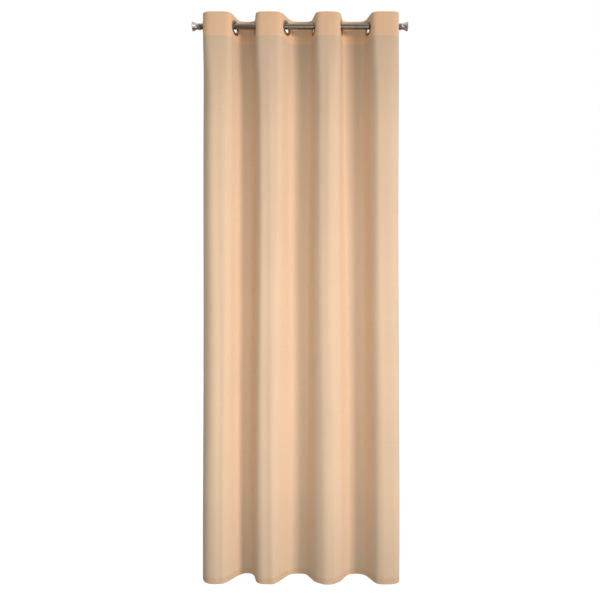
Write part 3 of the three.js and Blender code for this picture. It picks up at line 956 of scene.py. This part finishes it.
def eased(source, name, body):
    """A bracket part with its edges eased, which stands for the frame's own."""
    work = bmesh.new()
    work.from_mesh(frame["nodes"][source].data)
    bmesh.ops.remove_doubles(work, verts=work.verts, dist=1e-6)
    bmesh.ops.dissolve_limit(
        work, angle_limit=math.radians(1.5), verts=work.verts, edges=work.edges
    )
    sharp = math.radians(40)
    crisp = [edge for edge in work.edges if edge.is_manifold and edge.calc_face_angle() > sharp]
    bmesh.ops.bevel(
        work, geom=crisp, offset=EASED_EDGE, segments=2, affect="EDGES", clamp_overlap=True
    )
    bmesh.ops.recalc_face_normals(work, faces=work.faces)
    mesh = bpy.data.meshes.new(name)
    work.to_mesh(mesh)
    work.free()
    smooth(mesh, 35)
    made = shown(name, mesh, bracket_finish)
    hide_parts(source)
    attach(made, body)


for hand in ("left", "right"):
    eased(f"bracket_arm_{hand}", f"bracket_cup_{hand}", "brackets")
    eased(f"wall_plate_{hand}", f"bracket_plate_{hand}", "brackets")
    for source in (f"arm_screw_{hand}", f"rod_lock_screw_{hand}", f"finial_screw_{hand}"):
        frame["nodes"][source].data.materials.clear()
        frame["nodes"][source].data.materials.append(screw_finish)
    frame["nodes"][f"finial_plug_{hand}"].data.materials.clear()
    frame["nodes"][f"finial_plug_{hand}"].data.materials.append(plug_finish)


# ---- Studio ----

FLOOR_REACH = 7.0
FLOOR_GAP = 0.014
FILL_COLOUR = (0.355, 0.400, 0.425, 1)
MIRRORED_LOW = (0.19, 0.172, 0.150, 1)
MIRRORED_LEVEL = (0.35, 0.292, 0.230, 1)
MIRRORED_HIGH = (0.86, 0.85, 0.83, 1)
KEY_COLOUR = (1.0, 0.90, 0.86)
CAMERA_BACK = 2.445
CAMERA_Z = -1.206


def studio_floor():
    """A plain pale floor just under the hem."""
    finish, tree, shader = new_finish("studio_floor")
    place = node(tree, "ShaderNodeTexCoord").outputs["Object"]
    grain = streaks(tree, place, (40, 40, 40), 2.0)
    shader.inputs["Roughness"].default_value = 0.9
    pale = mixed(tree, grain, (0.88, 0.88, 0.88, 1), (0.92, 0.92, 0.92, 1))
    tree.links.new(pale, shader.inputs["Base Color"])
    shader.inputs["Emission Color"].default_value = (1, 1, 1, 1)
    shader.inputs["Emission Strength"].default_value = 0.75
    mesh = bpy.data.meshes.new("floor")
    level = hem_z - FLOOR_GAP
    ends = ((-1, -1), (1, -1), (1, 1), (-1, 1))
    corners = [(FLOOR_REACH * x, FLOOR_REACH * y, level) for x, y in ends]
    mesh.from_pydata(corners, [], [(0, 1, 2, 3)])
    made = shown("floor", mesh, finish)
    made.visible_diffuse = False
    made.visible_glossy = False


def studio_world():
    """White behind the curtain, a soft cool fill on it, and a warm to white sky in the metal."""
    world = bpy.data.worlds.new("studio")
    world.use_nodes = True
    tree = world.node_tree
    tree.nodes.clear()
    path = node(tree, "ShaderNodeLightPath")
    around = node(tree, "ShaderNodeTexCoord").outputs["Generated"]
    aim = node(tree, "ShaderNodeSeparateXYZ", {0: around})
    level = ranged(tree, aim.outputs[2], -0.30, 0.15, 0.0, 1.0)
    above = ranged(tree, aim.outputs[2], 0.15, 0.75, 0.0, 1.0)
    mirrored = mixed(tree, above, mixed(tree, level, MIRRORED_LOW, MIRRORED_LEVEL), MIRRORED_HIGH)
    lit = mixed(tree, path.outputs["Is Glossy Ray"], FILL_COLOUR, mirrored)
    shown_white = mixed(tree, path.outputs["Is Camera Ray"], lit, (1, 1, 1, 1))
    sky = node(tree, "ShaderNodeBackground", {"Color": shown_white, "Strength": 1.0})
    node(tree, "ShaderNodeOutputWorld", {"Surface": sky.outputs[0]})
    bpy.context.scene.world = world


def soft_light(name, place, aim, size, power, colour):
    """A rectangular soft box that points at a place."""
    lamp = bpy.data.lights.new(name, "AREA")
    lamp.shape = "RECTANGLE"
    lamp.size, lamp.size_y = size
    lamp.energy = power
    lamp.color = colour
    made = bpy.data.objects.new(name, lamp)
    made.location = place
    made.rotation_euler = (Vector(aim) - Vector(place)).to_track_quat("-Z", "Y").to_euler()
    made.visible_camera = False
    bpy.context.scene.collection.objects.link(made)


def far_light(name, right_deg, up_deg, spread_deg, strength, colour):
    """A soft, distant light that comes from the front and one side."""
    lamp = bpy.data.lights.new(name, "SUN")
    lamp.angle = math.radians(spread_deg)
    lamp.energy = strength
    lamp.color = colour
    made = bpy.data.objects.new(name, lamp)
    right, up = math.radians(right_deg), math.radians(up_deg)
    across, out = math.sin(right) * math.cos(up), math.cos(right) * math.cos(up)
    came_from = Vector((across, -out, math.sin(up)))
    made.rotation_euler = came_from.to_track_quat("Z", "Y").to_euler()
    bpy.context.scene.collection.objects.link(made)


middle_z = (head_z + hem_z) / 2
studio_floor()
studio_world()
key_z = middle_z - 0.08
soft_light("key", (0.22, rod_y - 1.5, key_z), (0.10, rod_y, key_z), (1.0, 0.9), 7.6, KEY_COLOUR)
far_light("side_key", 49, 8, 18, 1.68, KEY_COLOUR)

lens = bpy.data.cameras.new("camera")
lens.sensor_width = 36
lens.lens = 32.95
lens.shift_y = -0.0043
camera = bpy.data.objects.new("camera", lens)
camera.location = (0, rod_y - CAMERA_BACK, CAMERA_Z)
camera.rotation_euler = (math.radians(90), 0, 0)
bpy.context.scene.collection.objects.link(camera)
bpy.context.scene.camera = camera
bpy.context.scene.view_settings.view_transform = "Standard"
